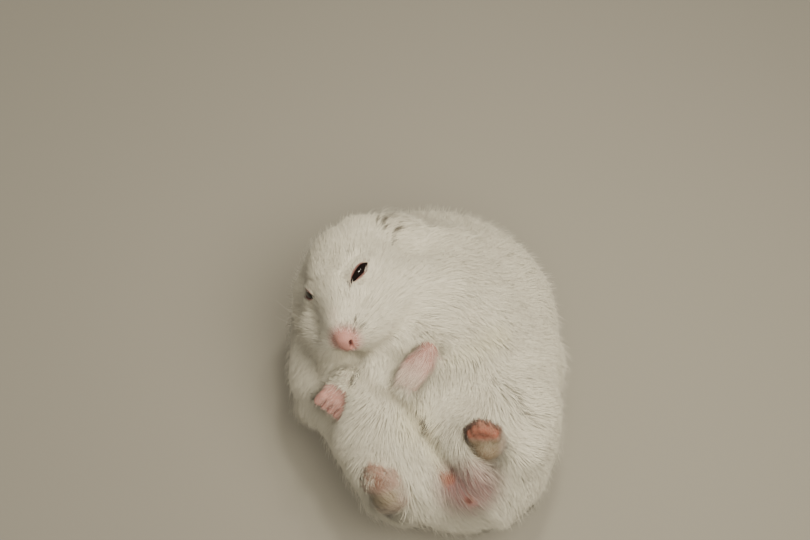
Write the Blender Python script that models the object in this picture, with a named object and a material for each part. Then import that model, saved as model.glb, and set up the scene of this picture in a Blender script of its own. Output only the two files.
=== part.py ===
"""A white winter dwarf hamster asleep on its back, life size.

The animal lies on its back on the plane z = 0. Its rump is towards -Y and its nape towards +Y.
The body is modelled whole from rounded masses, out to the tips of the coat. It is then parted
into named solids along thin gaps. Places and sizes are in millimetres until they are built.
In the frames of the head, the paws and the feet, X is the right, Y is forward and Z is up.
"""

import bmesh
import bpy
from mathutils import Matrix, Vector

MM = 0.001

# Driving dimensions, in millimetres.
GAP = 0.3
VOXEL = 0.6
EYE_SPACING = 11.7
EYE_SLIT = (1.0, 2.7, 1.7)
EYE_STAND = 0.55
EAR_SIZE = (3.0, 3.8, 0.9)
EAR_LEFT = (-9.4, -12.4, -1.3)
EAR_RIGHT = (7.8, -11.4, 0.2)
NOSE_SIZE = (1.7, 1.5, 1.4)
FINGER = 0.75
TOE = 0.85

# The head's own frame: the origin is midway between the eyes.
HEAD_PLACE = (-18.6, 10.8, 36.0)
NOSE_AIM = (-0.023, -0.952, 0.304)
CROWN_AIM = (-0.582, 0.260, 0.772)


def frame_at(place, forward, up):
    """A right-handed frame: Y is forward, Z is close to up and X is the right."""
    y = Vector(forward).normalized()
    x = y.cross(Vector(up)).normalized()
    z = x.cross(y)
    turn = Matrix((x, y, z)).transposed().to_4x4()
    return Matrix.Translation(Vector(place)) @ turn


WORLD = Matrix.Identity(4)
HEAD = frame_at(HEAD_PLACE, NOSE_AIM, CROWN_AIM)


# --- rounded masses ---------------------------------------------------------------------------


def egg(centre, radii, frame=WORLD):
    """One rounded mass, as a list of one: its centre and its three radii, in a frame."""
    return [("egg", Vector(centre), Vector(radii), frame)]


def taper(start, start_radius, end, end_radius, frame=WORLD):
    """A mass that tapers from one ball to another, as a list of one."""
    return [("taper", (Vector(start), start_radius), (Vector(end), end_radius), frame)]


def bend(points, radii, frame=WORLD):
    """Tapers end to end along a bent line."""
    run = zip(points, radii, points[1:], radii[1:])
    return [m for a, ra, b, rb in run for m in taper(a, ra, b, rb, frame)]


def add_ball(mesh, centre, radii, frame, grow, detail):
    size = Matrix.Diagonal((*[r + grow for r in radii], 1.0))
    place = Matrix.Scale(MM, 4) @ frame @ Matrix.Translation(centre) @ size
    return bmesh.ops.create_icosphere(mesh, subdivisions=detail, radius=1.0, matrix=place)


def add_hull(mesh, ends, frame, grow):
    """The hull of two balls."""
    balls = bmesh.new()
    for centre, radius in ends:
        add_ball(balls, centre, (radius,) * 3, frame, grow, 3)
    shell = bmesh.new()
    corners = [shell.verts.new(v.co) for v in balls.verts]
    balls.free()
    bmesh.ops.convex_hull(shell, input=corners, use_existing_faces=False)
    bmesh.ops.delete(shell, geom=[v for v in shell.verts if not v.link_faces], context="VERTS")
    part = bpy.data.meshes.new("hull")
    shell.to_mesh(part)
    shell.free()
    mesh.from_mesh(part)
    bpy.data.meshes.remove(part)


def put(name, mesh):
    made = bpy.data.objects.new(name, mesh)
    bpy.context.scene.collection.objects.link(made)
    return made


def build(name, masses, grow=0.0):
    """The masses, still overlapping, as one object."""
    whole = bmesh.new()
    for kind, first, second, frame in masses:
        if kind == "egg":
            add_ball(whole, first, second, frame, grow, 4)
        else:
            add_hull(whole, (first, second), frame, grow)
    bmesh.ops.recalc_face_normals(whole, faces=whole.faces)
    mesh = bpy.data.meshes.new(name)
    whole.to_mesh(mesh)
    whole.free()
    return put(name, mesh)


def settle(made):
    """Applies an object's modifiers."""
    graph = bpy.context.evaluated_depsgraph_get()
    mesh = bpy.data.meshes.new_from_object(made.evaluated_get(graph), depsgraph=graph)
    made.modifiers.clear()
    made.data = mesh
    return made


def fuse(name, masses, faces, grow=0.0, voxel=VOXEL, relax=6):
    """The masses melted into one closed body of about so many triangles."""
    made = build(name, masses, grow)
    remesh = made.modifiers.new("melt", "REMESH")
    remesh.mode = "VOXEL"
    remesh.voxel_size = voxel * MM
    smooth = made.modifiers.new("relax", "SMOOTH")
    smooth.factor = 0.5
    smooth.iterations = relax
    settle(made)
    split = bmesh.new()
    split.from_mesh(made.data)
    bmesh.ops.triangulate(split, faces=split.faces)
    split.to_mesh(made.data)
    split.free()
    return thin(made, faces)


def thin(made, faces):
    """Brings a closed body down to about so many triangles."""
    step = made.modifiers.new("thin", "DECIMATE")
    step.ratio = min(1.0, faces / len(made.data.polygons))
    return settle(made)


def cut(made, cutter, operation):
    tool = made.modifiers.new("cut", "BOOLEAN")
    tool.operation = operation
    tool.solver = "EXACT"
    tool.object = cutter
    return settle(made)


def grown(cutter, by):
    """A copy of a closed body, moved out along its normals."""
    copy = put(cutter.name + "_grown", cutter.data.copy())
    push = copy.modifiers.new("push", "DISPLACE")
    push.mid_level = 0.0
    push.strength = by * MM
    return settle(copy)


def keep_largest(made):
    """Drops the crumbs that a cut can leave."""
    body = bmesh.new()
    body.from_mesh(made.data)
    left = set(body.verts)
    islands = []
    while left:
        front = [left.pop()]
        island = list(front)
        while front:
            near = {e.other_vert(v) for v in front for e in v.link_edges} & left
            left -= near
            front = list(near)
            island += front
        islands.append(island)
    islands.sort(key=len)
    for island in islands[:-1]:
        bmesh.ops.delete(body, geom=island, context="VERTS")
    bmesh.ops.triangulate(body, faces=body.faces)
    body.to_mesh(made.data)
    body.free()
    return made


def drop(*made):
    for o in made:
        bpy.data.objects.remove(o)


def seat(piece, host, faces):
    """Cuts a piece's seat, with the gap, out of the body around it."""
    wide = thin(grown(piece, GAP), faces)
    cut(host, wide, "DIFFERENCE")
    drop(wide)


def part_off(name, whole, region, faces, grow=0.0):
    """Parts a region off the whole, along a thin gap."""
    claim = fuse(name + "_region", region, 420, grow=grow, voxel=0.9)
    piece = put(name, whole.data.copy())
    cut(piece, claim, "INTERSECT")
    seat(claim, whole, 420)
    drop(claim)
    return thin(keep_largest(piece), faces)


# --- the masses of the body -------------------------------------------------------------------

LEFT = -1
RIGHT = 1


def head_side(s):
    return (
        egg((s * 5.2, -3.6, -5.2), (6.2, 8.2, 6.0), HEAD)
        + egg((s * 2.4, 5.2, -7.6), (3.8, 4.8, 3.2), HEAD)
        + egg((s * 2.8, 7.0, -5.8), (3.9, 4.0, 3.4), HEAD)
        + egg((s * 3.2, -1.4, -0.4), (3.2, 4.2, 2.7), HEAD)
    )


HEAD_MASS = (
    egg((0, -6.0, -2.0), (8.0, 9.6, 7.0), HEAD)
    + taper((0, 0.5, -3.0), 6.0, (0, 6.6, -4.4), 4.9, HEAD)
    + taper((0, 6.6, -4.4), 4.4, (0, 9.9, -4.8), 2.7, HEAD)
    + egg((-0.6, 4.6, -8.6), (3.8, 5.2, 3.0), HEAD)
    + head_side(LEFT)
    + head_side(RIGHT)
    # The left jowl lies full on the chest. The right one is pressed up by the shoulder.
    + egg((-6.0, -0.5, -8.2), (6.4, 7.6, 5.4), HEAD)
    + egg((-3.0, 6.0, -8.6), (4.2, 4.6, 3.4), HEAD)
    + egg((5.0, -1.5, -7.0), (5.6, 7.0, 5.0), HEAD)
)
NECK_MASS = (
    taper((-1.0, -9.0, -6.0), 8.6, (-5.0, -14.0, -9.0), 8.8, HEAD)
    + taper((-8.0, 22.0, 22.0), 11.5, (3.0, 19.0, 19.0), 13.0)
    + egg((0.0, 15.5, 27.0), (11.0, 11.5, 8.0))
    # The left cheek and its pouch run on into the shoulder.
    + egg((-1.0, 12.0, 28.0), (11.0, 9.5, 9.0))
    + egg((-3.0, 5.5, 29.0), (9.5, 7.0, 6.5))
)
TRUNK_MASS = (
    egg((0.5, 13.0, 15.0), (27.3, 26.3, 16.0))
    + egg((0.5, 3.0, 15.5), (28.0, 23.0, 16.5))
    + egg((4.2, -10.0, 14.4), (22.8, 19.0, 15.4))
    + egg((7.0, -14.8, 13.5), (18.0, 16.8, 14.3))
)
RIGHT_ARM = (
    taper((-17.5, 10.0, 16.0), 11.5, (-18.8, 1.0, 17.0), 10.0)
    + taper((-18.8, 1.0, 18.0), 8.0, (-16.5, -4.0, 21.6), 4.5)
)
LEFT_ARM = (
    taper((6.0, 13.5, 21.0), 12.0, (11.5, 4.0, 22.0), 9.0)
    + taper((10.5, 2.2, 26.0), 6.2, (0.4, -4.4, 30.8), 3.3)
)
RIGHT_LEG = (
    taper((-8.0, -8.8, 17.8), 13.8, (-3.6, -18.6, 14.8), 12.0)
    + taper((-6.5, -18.0, 17.0), 7.0, (-7.5, -21.0, 16.0), 5.0)
)
LEFT_LEG = (
    taper((12.5, -8.5, 17.0), 14.2, (12.5, -17.5, 15.5), 11.2)
    + taper((12.0, -14.0, 23.0), 7.0, (10.6, -18.5, 25.4), 4.6)
)
TAIL_MASS = taper((9.0, -26.0, 12.5), 3.6, (12.6, -29.4, 13.4), 2.3)

# Where each region of the body ends. These only say where the seams run.
RIGHT_ARM_REGION = (
    taper((-20.5, 11.0, 17.0), 13.0, (-21.5, 1.0, 18.0), 11.5)
    + taper((-19.0, 1.0, 20.0), 9.2, (-16.5, -4.0, 22.4), 5.6)
)
LEFT_ARM_REGION = (
    taper((6.0, 14.0, 25.0), 12.5, (11.5, 4.6, 26.5), 8.6)
    + taper((10.5, 2.0, 28.0), 7.0, (0.4, -4.4, 31.4), 4.3)
)
RIGHT_LEG_REGION = egg((-13.0, -18.0, 14.0), (15.5, 15.0, 24.0))
LEFT_LEG_REGION = egg((18.5, -16.0, 14.0), (14.5, 15.5, 24.0))

# --- the paws and the feet --------------------------------------------------------------------

LEFT_PAW = frame_at((-0.8, -2.6, 32.6), (-4.5, -9.0, 0.2), (-0.2, -0.3, 1.0))
RIGHT_PAW = frame_at((-17.0, -4.7, 25.7), (-4.4, -6.0, -1.6), (0.5, -0.3, 0.8))
LEFT_FOOT = frame_at((10.9, -19.9, 27.4), (-2.1, 2.3, 9.0), (0.1, 1.0, 0.0))
RIGHT_FOOT = frame_at((-5.9, -27.3, 18.6), (-4.2, 4.0, 6.8), (0.4, 0.63, -0.65))


def paw_mass(frame, curl):
    """A forepaw: wrist, palm and four fingers that curl towards the palm."""
    mass = taper((0, -0.4, -0.4), 1.8, (0, 1.8, 0), 2.0, frame)
    mass += egg((0, 3.2, 0), (2.5, 3.3, 1.7), frame)
    for step in range(4):
        x = step - 1.5
        knuckle = (x * 1.1, 5.2, 0.1)
        joint = (x * 1.2, 7.2 - 0.4 * curl, -0.3 - 0.5 * curl)
        tip = (x * 1.0, 8.8 - 2.6 * curl, -0.7 - 1.9 * curl)
        mass += bend([knuckle, joint, tip], [1.0, FINGER, FINGER], frame)
    return mass


def foot_mass(frame):
    """A hind foot: heel, sole and five toes, the middle three the longest."""
    mass = taper((0, -1.2, 0), 2.1, (0, 3.0, 0), 2.4, frame)
    mass += egg((0, 4.8, -0.1), (2.8, 3.9, 1.9), frame)
    for step, reach in enumerate((7.2, 9.0, 9.6, 9.1, 7.5)):
        x = step - 2.0
        root = (x * 1.0, reach - 2.6, -0.1)
        tip = (x * 1.2, reach, -0.9)
        mass += taper(root, 1.2, tip, TOE, frame)
    return mass


# --- eyes, ears and nose ----------------------------------------------------------------------


def on_head(place, forward, up):
    """A frame set on the head, from directions in the head's own frame."""
    turn = HEAD.to_3x3()
    return frame_at(HEAD @ Vector(place), turn @ Vector(forward), turn @ Vector(up))


def eye_mass(s):
    """The lens of the eye that shows between half-closed lids."""
    width, length, depth = EYE_SLIT
    frame = on_head((s * EYE_SPACING / 2, 0.6, 0.0), (-s * 0.69, 0.72, 0.06), (s * 0.57, 0.50, 0.65))
    return egg((0, 0, EYE_STAND - depth), (width, length, depth), frame)


def ear_mass(s, place):
    """An ear folded back flat in the coat."""
    frame = on_head(place, (s * 1.8, -4.2, -2.6), (s * 0.6, -0.1, 0.8))
    return egg((0, 0, 0), EAR_SIZE, frame)


def clear():
    for o in list(bpy.data.objects):
        bpy.data.objects.remove(o)


def flatten(made, level):
    """Cuts the flat on which the animal rests, at a level."""
    body = bmesh.new()
    body.from_mesh(made.data)
    cut_line = bmesh.ops.bisect_plane(
        body,
        geom=body.verts[:] + body.edges[:] + body.faces[:],
        plane_co=(0, 0, level * MM),
        plane_no=(0, 0, -1),
        clear_outer=True,
    )
    rim = [e for e in cut_line["geom_cut"] if isinstance(e, bmesh.types.BMEdge)]
    bmesh.ops.holes_fill(body, edges=rim)
    bmesh.ops.triangulate(body, faces=body.faces)
    body.to_mesh(made.data)
    body.free()


def paint(name, colour, roughness):
    made = bpy.data.materials.new(name)
    made.use_nodes = True
    shader = made.node_tree.nodes["Principled BSDF"]
    shader.inputs["Base Color"].default_value = (*colour, 1.0)
    shader.inputs["Roughness"].default_value = roughness
    return made


def main():
    clear()
    limbs = RIGHT_ARM + LEFT_ARM + RIGHT_LEG + LEFT_LEG
    whole = fuse("trunk", TRUNK_MASS + NECK_MASS + HEAD_MASS + limbs, 4400)
    flatten(whole, -0.15)

    nose = egg((0, 11.4, -4.7), NOSE_SIZE, HEAD)
    small = [
        fuse("eye_left", eye_mass(LEFT), 110, voxel=0.15, relax=2),
        fuse("eye_right", eye_mass(RIGHT), 110, voxel=0.15, relax=2),
        fuse("nose", nose, 110, voxel=0.15, relax=2),
        fuse("ear_left", ear_mass(LEFT, EAR_LEFT), 130, voxel=0.25, relax=2),
        fuse("ear_right", ear_mass(RIGHT, EAR_RIGHT), 130, voxel=0.25, relax=2),
        fuse("forepaw_left", paw_mass(LEFT_PAW, 0.0), 420, voxel=0.22, relax=3),
        fuse("forepaw_right", paw_mass(RIGHT_PAW, 1.0), 420, voxel=0.22, relax=3),
        fuse("hindfoot_left", foot_mass(LEFT_FOOT), 440, voxel=0.22, relax=3),
        fuse("hindfoot_right", foot_mass(RIGHT_FOOT), 440, voxel=0.22, relax=3),
        fuse("tail", TAIL_MASS, 140, voxel=0.4, relax=2),
    ]
    for piece in small:
        seat(piece, whole, 240)

    regions = [
        part_off("head", whole, HEAD_MASS, 1300, grow=0.8),
        part_off("foreleg_right", whole, RIGHT_ARM_REGION, 620),
        part_off("foreleg_left", whole, LEFT_ARM_REGION, 620),
        part_off("hindleg_right", whole, RIGHT_LEG_REGION, 850),
        part_off("hindleg_left", whole, LEFT_LEG_REGION, 850),
        part_off("neck", whole, NECK_MASS, 750, grow=0.6),
        thin(keep_largest(whole), 2200),
    ]
    for piece in regions:
        flatten(piece, 0.0)

    coat = paint("white_coat", (0.80, 0.78, 0.72), 0.85)
    skin = paint("pink_skin", (0.78, 0.50, 0.45), 0.55)
    eye = paint("black_eye", (0.02, 0.015, 0.015), 0.08)
    for piece in regions + small:
        colour = coat
        if piece.name.startswith("eye"):
            colour = eye
        elif piece.name == "nose" or "paw" in piece.name or "foot" in piece.name:
            colour = skin
        piece.data.materials.clear()
        piece.data.materials.append(colour)


main()
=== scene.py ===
"""A white dwarf hamster asleep on its back, life size: skin, coat, eyes, claws, light and camera.

Places are in millimetres in the model's own frame: X is the sleeper's left, Y runs from tail to
head and Z is up from the floor. Meshes are in metres.
"""

import math

import bmesh
import bpy
import numpy as np
from mathutils import Matrix, Vector
from mathutils.bvhtree import BVHTree
from mathutils.kdtree import KDTree


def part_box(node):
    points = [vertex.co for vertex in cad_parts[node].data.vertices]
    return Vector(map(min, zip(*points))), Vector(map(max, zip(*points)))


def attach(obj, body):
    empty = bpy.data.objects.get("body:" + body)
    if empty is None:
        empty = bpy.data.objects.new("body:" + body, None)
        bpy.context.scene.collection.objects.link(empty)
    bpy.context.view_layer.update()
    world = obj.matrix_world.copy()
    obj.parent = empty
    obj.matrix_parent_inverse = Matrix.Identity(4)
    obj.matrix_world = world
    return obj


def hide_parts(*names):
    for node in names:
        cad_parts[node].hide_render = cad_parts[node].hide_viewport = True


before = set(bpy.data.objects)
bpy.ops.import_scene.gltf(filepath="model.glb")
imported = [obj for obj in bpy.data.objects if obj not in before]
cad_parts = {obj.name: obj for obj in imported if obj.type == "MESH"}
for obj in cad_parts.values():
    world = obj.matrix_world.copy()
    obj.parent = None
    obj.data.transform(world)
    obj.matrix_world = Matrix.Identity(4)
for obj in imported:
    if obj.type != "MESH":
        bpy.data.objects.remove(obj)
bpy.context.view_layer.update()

MM = 0.001

# Where the camera stands, in metres.
CAMERA = (-0.0047, -0.0741, 0.1877)

PAW_NODES = ("forepaw_left", "forepaw_right", "hindfoot_left", "hindfoot_right")
EYE_NODES = ("eye_left", "eye_right")
FLESH = [name for name in sorted(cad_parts) if name not in EYE_NODES]
LEFT = -1
RIGHT = 1

# How the coat grows on each node: its depth, the length and width of a tuft, how densely they
# grow beside the other nodes, and how far the tips wander.
DEPTH, LENGTH, WIDTH, DENSITY, WANDER = range(5)
COAT = {
    "trunk": (2.5, 5.2, 0.130, 1.00, 0.13),
    "neck": (2.4, 5.0, 0.130, 1.10, 0.13),
    "head": (1.9, 4.0, 0.145, 1.35, 0.17),
    "nose": (0.2, 0.9, 0.070, 2.00, 0.10),
    "ear_left": (2.0, 3.4, 0.110, 1.50, 0.16),
    "ear_right": (1.6, 3.0, 0.110, 1.40, 0.16),
    "foreleg_left": (2.1, 4.8, 0.125, 1.15, 0.13),
    "foreleg_right": (2.0, 4.6, 0.125, 1.15, 0.13),
    "hindleg_left": (2.4, 5.0, 0.130, 1.05, 0.13),
    "hindleg_right": (2.3, 4.8, 0.130, 1.10, 0.13),
    "tail": (1.2, 3.0, 0.120, 1.30, 0.16),
    "forepaw_left": (0.4, 2.6, 0.065, 1.00, 0.12),
    "forepaw_right": (0.2, 1.1, 0.055, 0.42, 0.20),
    "hindfoot_left": (0.7, 1.9, 0.065, 2.30, 0.30),
    "hindfoot_right": (1.0, 2.9, 0.075, 2.20, 0.28),
}
TUFTS = 146000

# A piece of the coat has no more tufts than this, which keeps it under 200,000 triangles.
PIECE_TUFTS = 19500

# A lying tuft bends with the roundness of a body of this radius.
BODY_RADIUS = 21.0


# --- places and directions --------------------------------------------------------------------


def unit(vectors):
    """The same directions, one long."""
    vectors = np.asarray(vectors, float)
    return vectors / np.maximum(np.linalg.norm(vectors, axis=-1, keepdims=True), 1e-9)


def spot(node, across, along, up):
    """The place that lies so far through a node's box on each axis."""
    low, high = [np.array(corner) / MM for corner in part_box(node)]
    return low + (high - low) * np.array((across, along, up))


def middle(node):
    """The mean of a node's corners."""
    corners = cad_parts[node].data.vertices
    return np.mean([corner.co for corner in corners], axis=0) / MM


class Place:
    """An origin and three axes: Y is forward, Z is close to up and X is the right."""

    def __init__(self, origin, forward, up):
        self.origin = np.asarray(origin, float)
        ahead = unit(forward)
        aside = unit(np.cross(ahead, up))
        self.axes = np.array((aside, ahead, np.cross(aside, ahead)))

    def within(self, points):
        return (points - self.origin) @ self.axes.T

    def world(self, points):
        return np.asarray(points, float) @ self.axes + self.origin

    def aim(self, direction):
        return np.asarray(direction, float) @ self.axes

    def matrix(self):
        turn = Matrix(self.axes.T.tolist()).to_4x4()
        return Matrix.Translation(Vector(self.origin) * MM) @ turn


def head_place():
    """The head's frame, from its eyes and its nose: X is the sleeper's right."""
    eyes = [middle(node) for node in EYE_NODES]
    aside = unit(eyes[1] - eyes[0])
    between = (eyes[0] + eyes[1]) / 2
    muzzle = unit(middle("nose") - between)
    crown = np.cross(aside, muzzle)
    tilt = math.radians(19.5)
    forward = muzzle * math.cos(tilt) + crown * math.sin(tilt)
    level = Place(between, forward, crown)
    return Place(level.world((0, 0, 0.75)), forward, crown)


HEAD = head_place()
NOSE_TIP = HEAD.world((0, 12.4, -4.9))


class Paw(Place):
    """A paw's frame, with Y down to the digits and Z out of its back, and how it is built.

    Its own flesh lies within reach of its middle line, from start down. Width widens the paw, curl
    folds the fingers in, depth is how far it is drawn in on the bare body, and bare is the share of
    its pads that no hair covers.
    """

    def __init__(self, origin, forward, up, **build):
        super().__init__(origin, forward, up)
        for name, value in build.items():
            setattr(self, name, value)


PAWS = {
    "forepaw_left": Paw(
        spot("forepaw_left", 0.83, 0.91, 0.52), (-5.0, -9.0, 0.2), (-0.2, -0.3, 1.0),
        start=-0.9, reach=2.8, width=1.0, curl=0.1, depth=1.9, bare=1.0,
    ),
    "forepaw_right": Paw(
        spot("forepaw_right", 0.96, 0.57, 1.00), (-4.0, -4.6, -2.2), (0.3, -0.5, 0.8),
        start=0.9, reach=3.4, width=1.25, curl=1.0, depth=1.6, bare=1.0,
    ),
    "hindfoot_left": Paw(
        spot("hindfoot_left", 0.68, 0.43, 0.13), (-2.1, 2.3, 9.0), (0.1, 1.0, 0.0),
        start=0.4, reach=3.4, width=1.06, curl=0.0, depth=2.2, bare=0.65,
    ),
    "hindfoot_right": Paw(
        spot("hindfoot_right", 0.73, 0.36, 0.20), (-4.2, 4.0, 6.8), (0.4, 0.63, -0.65),
        start=0.0, reach=4.0, width=1.06, curl=0.0, depth=2.3, bare=0.35,
    ),
}
EYE_SHIFT = {LEFT: (-0.24, 0.20, -0.34), RIGHT: (-0.25, -0.45, 0.0)}


def eye_place(side):
    """An eye's frame: Y runs along the slit to its inner corner and Z faces out."""
    node = EYE_NODES[0] if side == LEFT else EYE_NODES[1]
    out = HEAD.aim((side * 0.57, 0.50, 0.65))
    seat = middle(node) + out * 1.15 + HEAD.aim(EYE_SHIFT[side])
    return Place(seat, HEAD.aim((-side * 0.63, 0.78, 0.06)), out)


EYES = {LEFT: eye_place(LEFT), RIGHT: eye_place(RIGHT)}
EYEBALL = (1.85, 3.15, 1.9)
EYE_STAND = 0.65
SLIT = (0.74, 2.75)

# Masses that round out the hollows between the nodes: the nape, the right shoulder and elbow, the
# chest under the fist, both sides of the left wrist, the haunches beside the feet, the belly's
# crease, the sides of the muzzle and the tail's tip.
FILLS = (
    (spot("neck", 0.18, 0.70, 0.86), 5.0),
    (spot("neck", 0.40, 0.73, 0.82), 4.8),
    (spot("neck", 0.545, 0.67, 0.73), 6.0),
    (spot("neck", 0.67, 0.725, 0.645), 6.0),
    (spot("foreleg_right", 0.24, 0.74, 0.90), 4.4),
    (spot("foreleg_right", 0.26, 0.61, 0.84), 4.6),
    (spot("foreleg_right", 0.24, 0.15, 0.42), 4.3),
    (spot("foreleg_right", 0.43, 0.10, 0.53), 5.2),
    (spot("hindleg_right", 0.16, 0.76, 0.57), 4.5),
    (spot("neck", 0.525, 0.158, 0.82), 4.6),
    (spot("neck", 0.60, 0.155, 0.783), 4.6),
    (spot("forepaw_left", 0.40, 1.00, 0.05), 3.2),
    (spot("forepaw_left", 0.92, 1.22, 0.14), 3.3),
    (spot("hindleg_left", 0.54, 0.38, 0.82), 4.2),
    (spot("trunk", 0.57, 0.22, 0.79), 4.5),
    (spot("trunk", 0.58, 0.185, 0.775), 4.3),
    (spot("trunk", 0.558, 0.198, 0.835), 4.0),
    (spot("trunk", 0.624, 0.123, 0.79), 3.6),
    (spot("trunk", 0.652, 0.174, 0.85), 4.6),
    (spot("trunk", 0.592, 0.208, 0.875), 4.3),
    (spot("trunk", 0.605, 0.149, 0.85), 3.7),
    (spot("trunk", 0.148, 0.427, 0.77), 4.5),
    (spot("hindleg_right", 0.52, 0.20, 0.59), 4.2),
    (spot("hindleg_right", 0.46, 0.37, 0.68), 4.4),
    (spot("head", 0.11, 0.55, 0.20), 4.4),
    (spot("head", 0.15, 0.36, 0.24), 4.0),
    (spot("head", 0.21, 0.20, 0.36), 3.8),
    (spot("head", 0.26, 0.10, 0.42), 3.4),
    (spot("head", 0.60, 0.106, 0.63), 3.6),
    (spot("head", 0.70, 0.15, 0.62), 3.6),
    (spot("tail", 0.63, 0.34, 1.21), 2.6),
    (spot("hindfoot_right", 0.62, 0.25, 0.15), 3.2),
    (PAWS["hindfoot_left"].world((5.0, 3.5, 1.8)), 2.9),
    (PAWS["hindfoot_left"].world((4.6, 3.7, 3.6)), 2.7),
)


def line(*stops):
    """The parts of a bent line. Between its places stand the radius and strength of each part."""
    places = stops[::2]
    return [(*ends, *part) for *ends, part in zip(places, places[1:], stops[1::2])]


# Lines where the coat parts and lies short in a fold: down the right cheek to the chin, below the
# right arm and along the cheek, over the left wrist, and from the right haunch down the belly.
# Shade is painted into the coat's colour along them too.
FOLDS = (
    *line(
        HEAD.world((5.6, 3.6, -3.4)), (1.0, 0.8),
        HEAD.world((5.0, 6.4, -6.4)), (1.0, 0.9),
        HEAD.world((2.8, 9.0, -8.6)),
    ),
    *line(
        spot("foreleg_right", 0.33, 0.39, 0.92), (1.2, 0.15),
        spot("foreleg_right", 0.48, 0.30, 0.95), (1.2, 0.25),
        spot("trunk", 0.17, 0.42, 0.91), (1.2, 0.5),
        spot("trunk", 0.26, 0.43, 0.96), (1.2, 0.8),
        spot("head", 0.80, 0.13, 0.56), (1.2, 0.6),
        spot("head", 0.95, 0.24, 0.62),
    ),
    *line(
        spot("trunk", 0.32, 0.41, 0.98), (1.0, 0.4),
        spot("forepaw_left", 0.76, 0.93, 0.76), (1.0, 0.2),
        spot("foreleg_left", 0.49, 0.28, 0.83),
    ),
    *line(
        spot("hindleg_right", 0.41, 0.85, 0.97), (1.3, 0.3),
        spot("hindleg_right", 0.54, 0.76, 1.0), (1.3, 0.5),
        spot("hindleg_right", 0.77, 0.61, 0.94), (1.0, 1.0),
        spot("hindleg_right", 0.82, 0.57, 0.92), (1.0, 1.0),
        spot("trunk", 0.45, 0.22, 0.90), (1.0, 1.0),
        spot("trunk", 0.48, 0.19, 0.89), (1.0, 1.0),
        spot("trunk", 0.50, 0.15, 0.85), (1.0, 0.8),
        spot("trunk", 0.52, 0.13, 0.82),
    ),
)

PAPILLA = spot("trunk", 0.52, 0.10, 0.78)
ANUS = spot("trunk", 0.60, 0.05, 0.69)
GROIN = spot("trunk", 0.60, 0.08, 0.74)
BELLY_TUFT = spot("trunk", 0.42, 0.24, 0.91)
CREASE_END = spot("trunk", 0.52, 0.12, 0.80)


# --- meshes -----------------------------------------------------------------------------------


def put(name, mesh):
    """A bmesh or a mesh as a new object."""
    if isinstance(mesh, bmesh.types.BMesh):
        data = bpy.data.meshes.new(name)
        mesh.to_mesh(data)
        mesh.free()
        mesh = data
    made = bpy.data.objects.new(name, mesh)
    bpy.context.scene.collection.objects.link(made)
    return made


def settle(made):
    """Applies an object's modifiers."""
    graph = bpy.context.evaluated_depsgraph_get()
    mesh = bpy.data.meshes.new_from_object(made.evaluated_get(graph), depsgraph=graph)
    made.modifiers.clear()
    made.data = mesh
    return made


def melt(name, mesh, voxel, relax):
    """Overlapping closed masses, as one closed body."""
    made = put(name, mesh)
    remesh = made.modifiers.new("melt", "REMESH")
    remesh.mode = "VOXEL"
    remesh.voxel_size = voxel * MM
    smooth = made.modifiers.new("relax", "SMOOTH")
    smooth.factor = 0.5
    smooth.iterations = relax
    return settle(made)


def read(what, field, width, kind=float):
    """A column of a mesh's data as an array."""
    flat = np.empty(len(what) * width, kind)
    what.foreach_get(field, flat)
    return flat.reshape(-1, width) if width > 1 else flat


def corners_of(mesh):
    return read(mesh.vertices, "co", 3) / MM


def move_corners(mesh, points):
    mesh.vertices.foreach_set("co", (points * MM).ravel())
    mesh.update()


def even_out(values, edges, times, held=None):
    """Blends each point's values with its neighbours'. Held is the share that stays put."""
    flat = np.array(values, float).reshape(len(values), -1)
    here = np.concatenate((edges[:, 0], edges[:, 1]))
    there = np.concatenate((edges[:, 1], edges[:, 0]))
    count = np.maximum(np.bincount(here, minlength=len(flat)), 1)
    free = 0.6 if held is None else 0.6 * (1.0 - held)
    for _ in range(times):
        for column in flat.T:
            mean = np.bincount(here, column[there], len(flat)) / count
            column += (mean - column) * free
    return flat.reshape(np.shape(values))


def step(values, start, end):
    """0 before start, 1 after end, and a smooth rise between."""
    part = np.clip((values - start) / (end - start), 0.0, 1.0)
    return part * part * (3.0 - 2.0 * part)


def far(points, place):
    return np.linalg.norm(points - place, axis=1)


def blob(points, centre, radius, core=0.4):
    """1 near a place, and 0 past the radius."""
    return 1.0 - step(far(points, centre), radius * core, radius)


def band(points, start, end, radius, core=0.4):
    """1 near the line between two places, and 0 past the radius."""
    run = end - start
    along = np.clip((points - start) @ run / (run @ run), 0.0, 1.0)
    away = np.linalg.norm(points - start - along[:, None] * run, axis=1)
    return 1.0 - step(away, radius * core, radius)


def ripple(points, size, seed):
    """A smooth value from about -1 to 1 that wanders over so many millimetres."""
    pick = np.random.default_rng(seed)
    total = np.zeros(len(points))
    for _ in range(7):
        wave = unit(pick.normal(size=3)) * pick.uniform(3.0, 8.0) / size
        total += np.sin(points @ wave + pick.uniform(0.0, 6.28))
    return total / 3.0


def add_part(whole, part):
    """Moves one bmesh into another."""
    mesh = bpy.data.meshes.new("part")
    part.to_mesh(mesh)
    part.free()
    whole.from_mesh(mesh)
    bpy.data.meshes.remove(mesh)


def ball_seat(place, centre, radii):
    """Stretches a ball of radius 1 to these radii and puts it in a place's frame."""
    size = Matrix.Diagonal((*[radius * MM for radius in radii], 1.0))
    return place.matrix() @ Matrix.Translation(Vector(centre) * MM) @ size


def add_ball(mesh, place, centre, radii):
    seat = ball_seat(place, centre, radii)
    bmesh.ops.create_icosphere(mesh, subdivisions=3, radius=1.0, matrix=seat)


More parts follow.
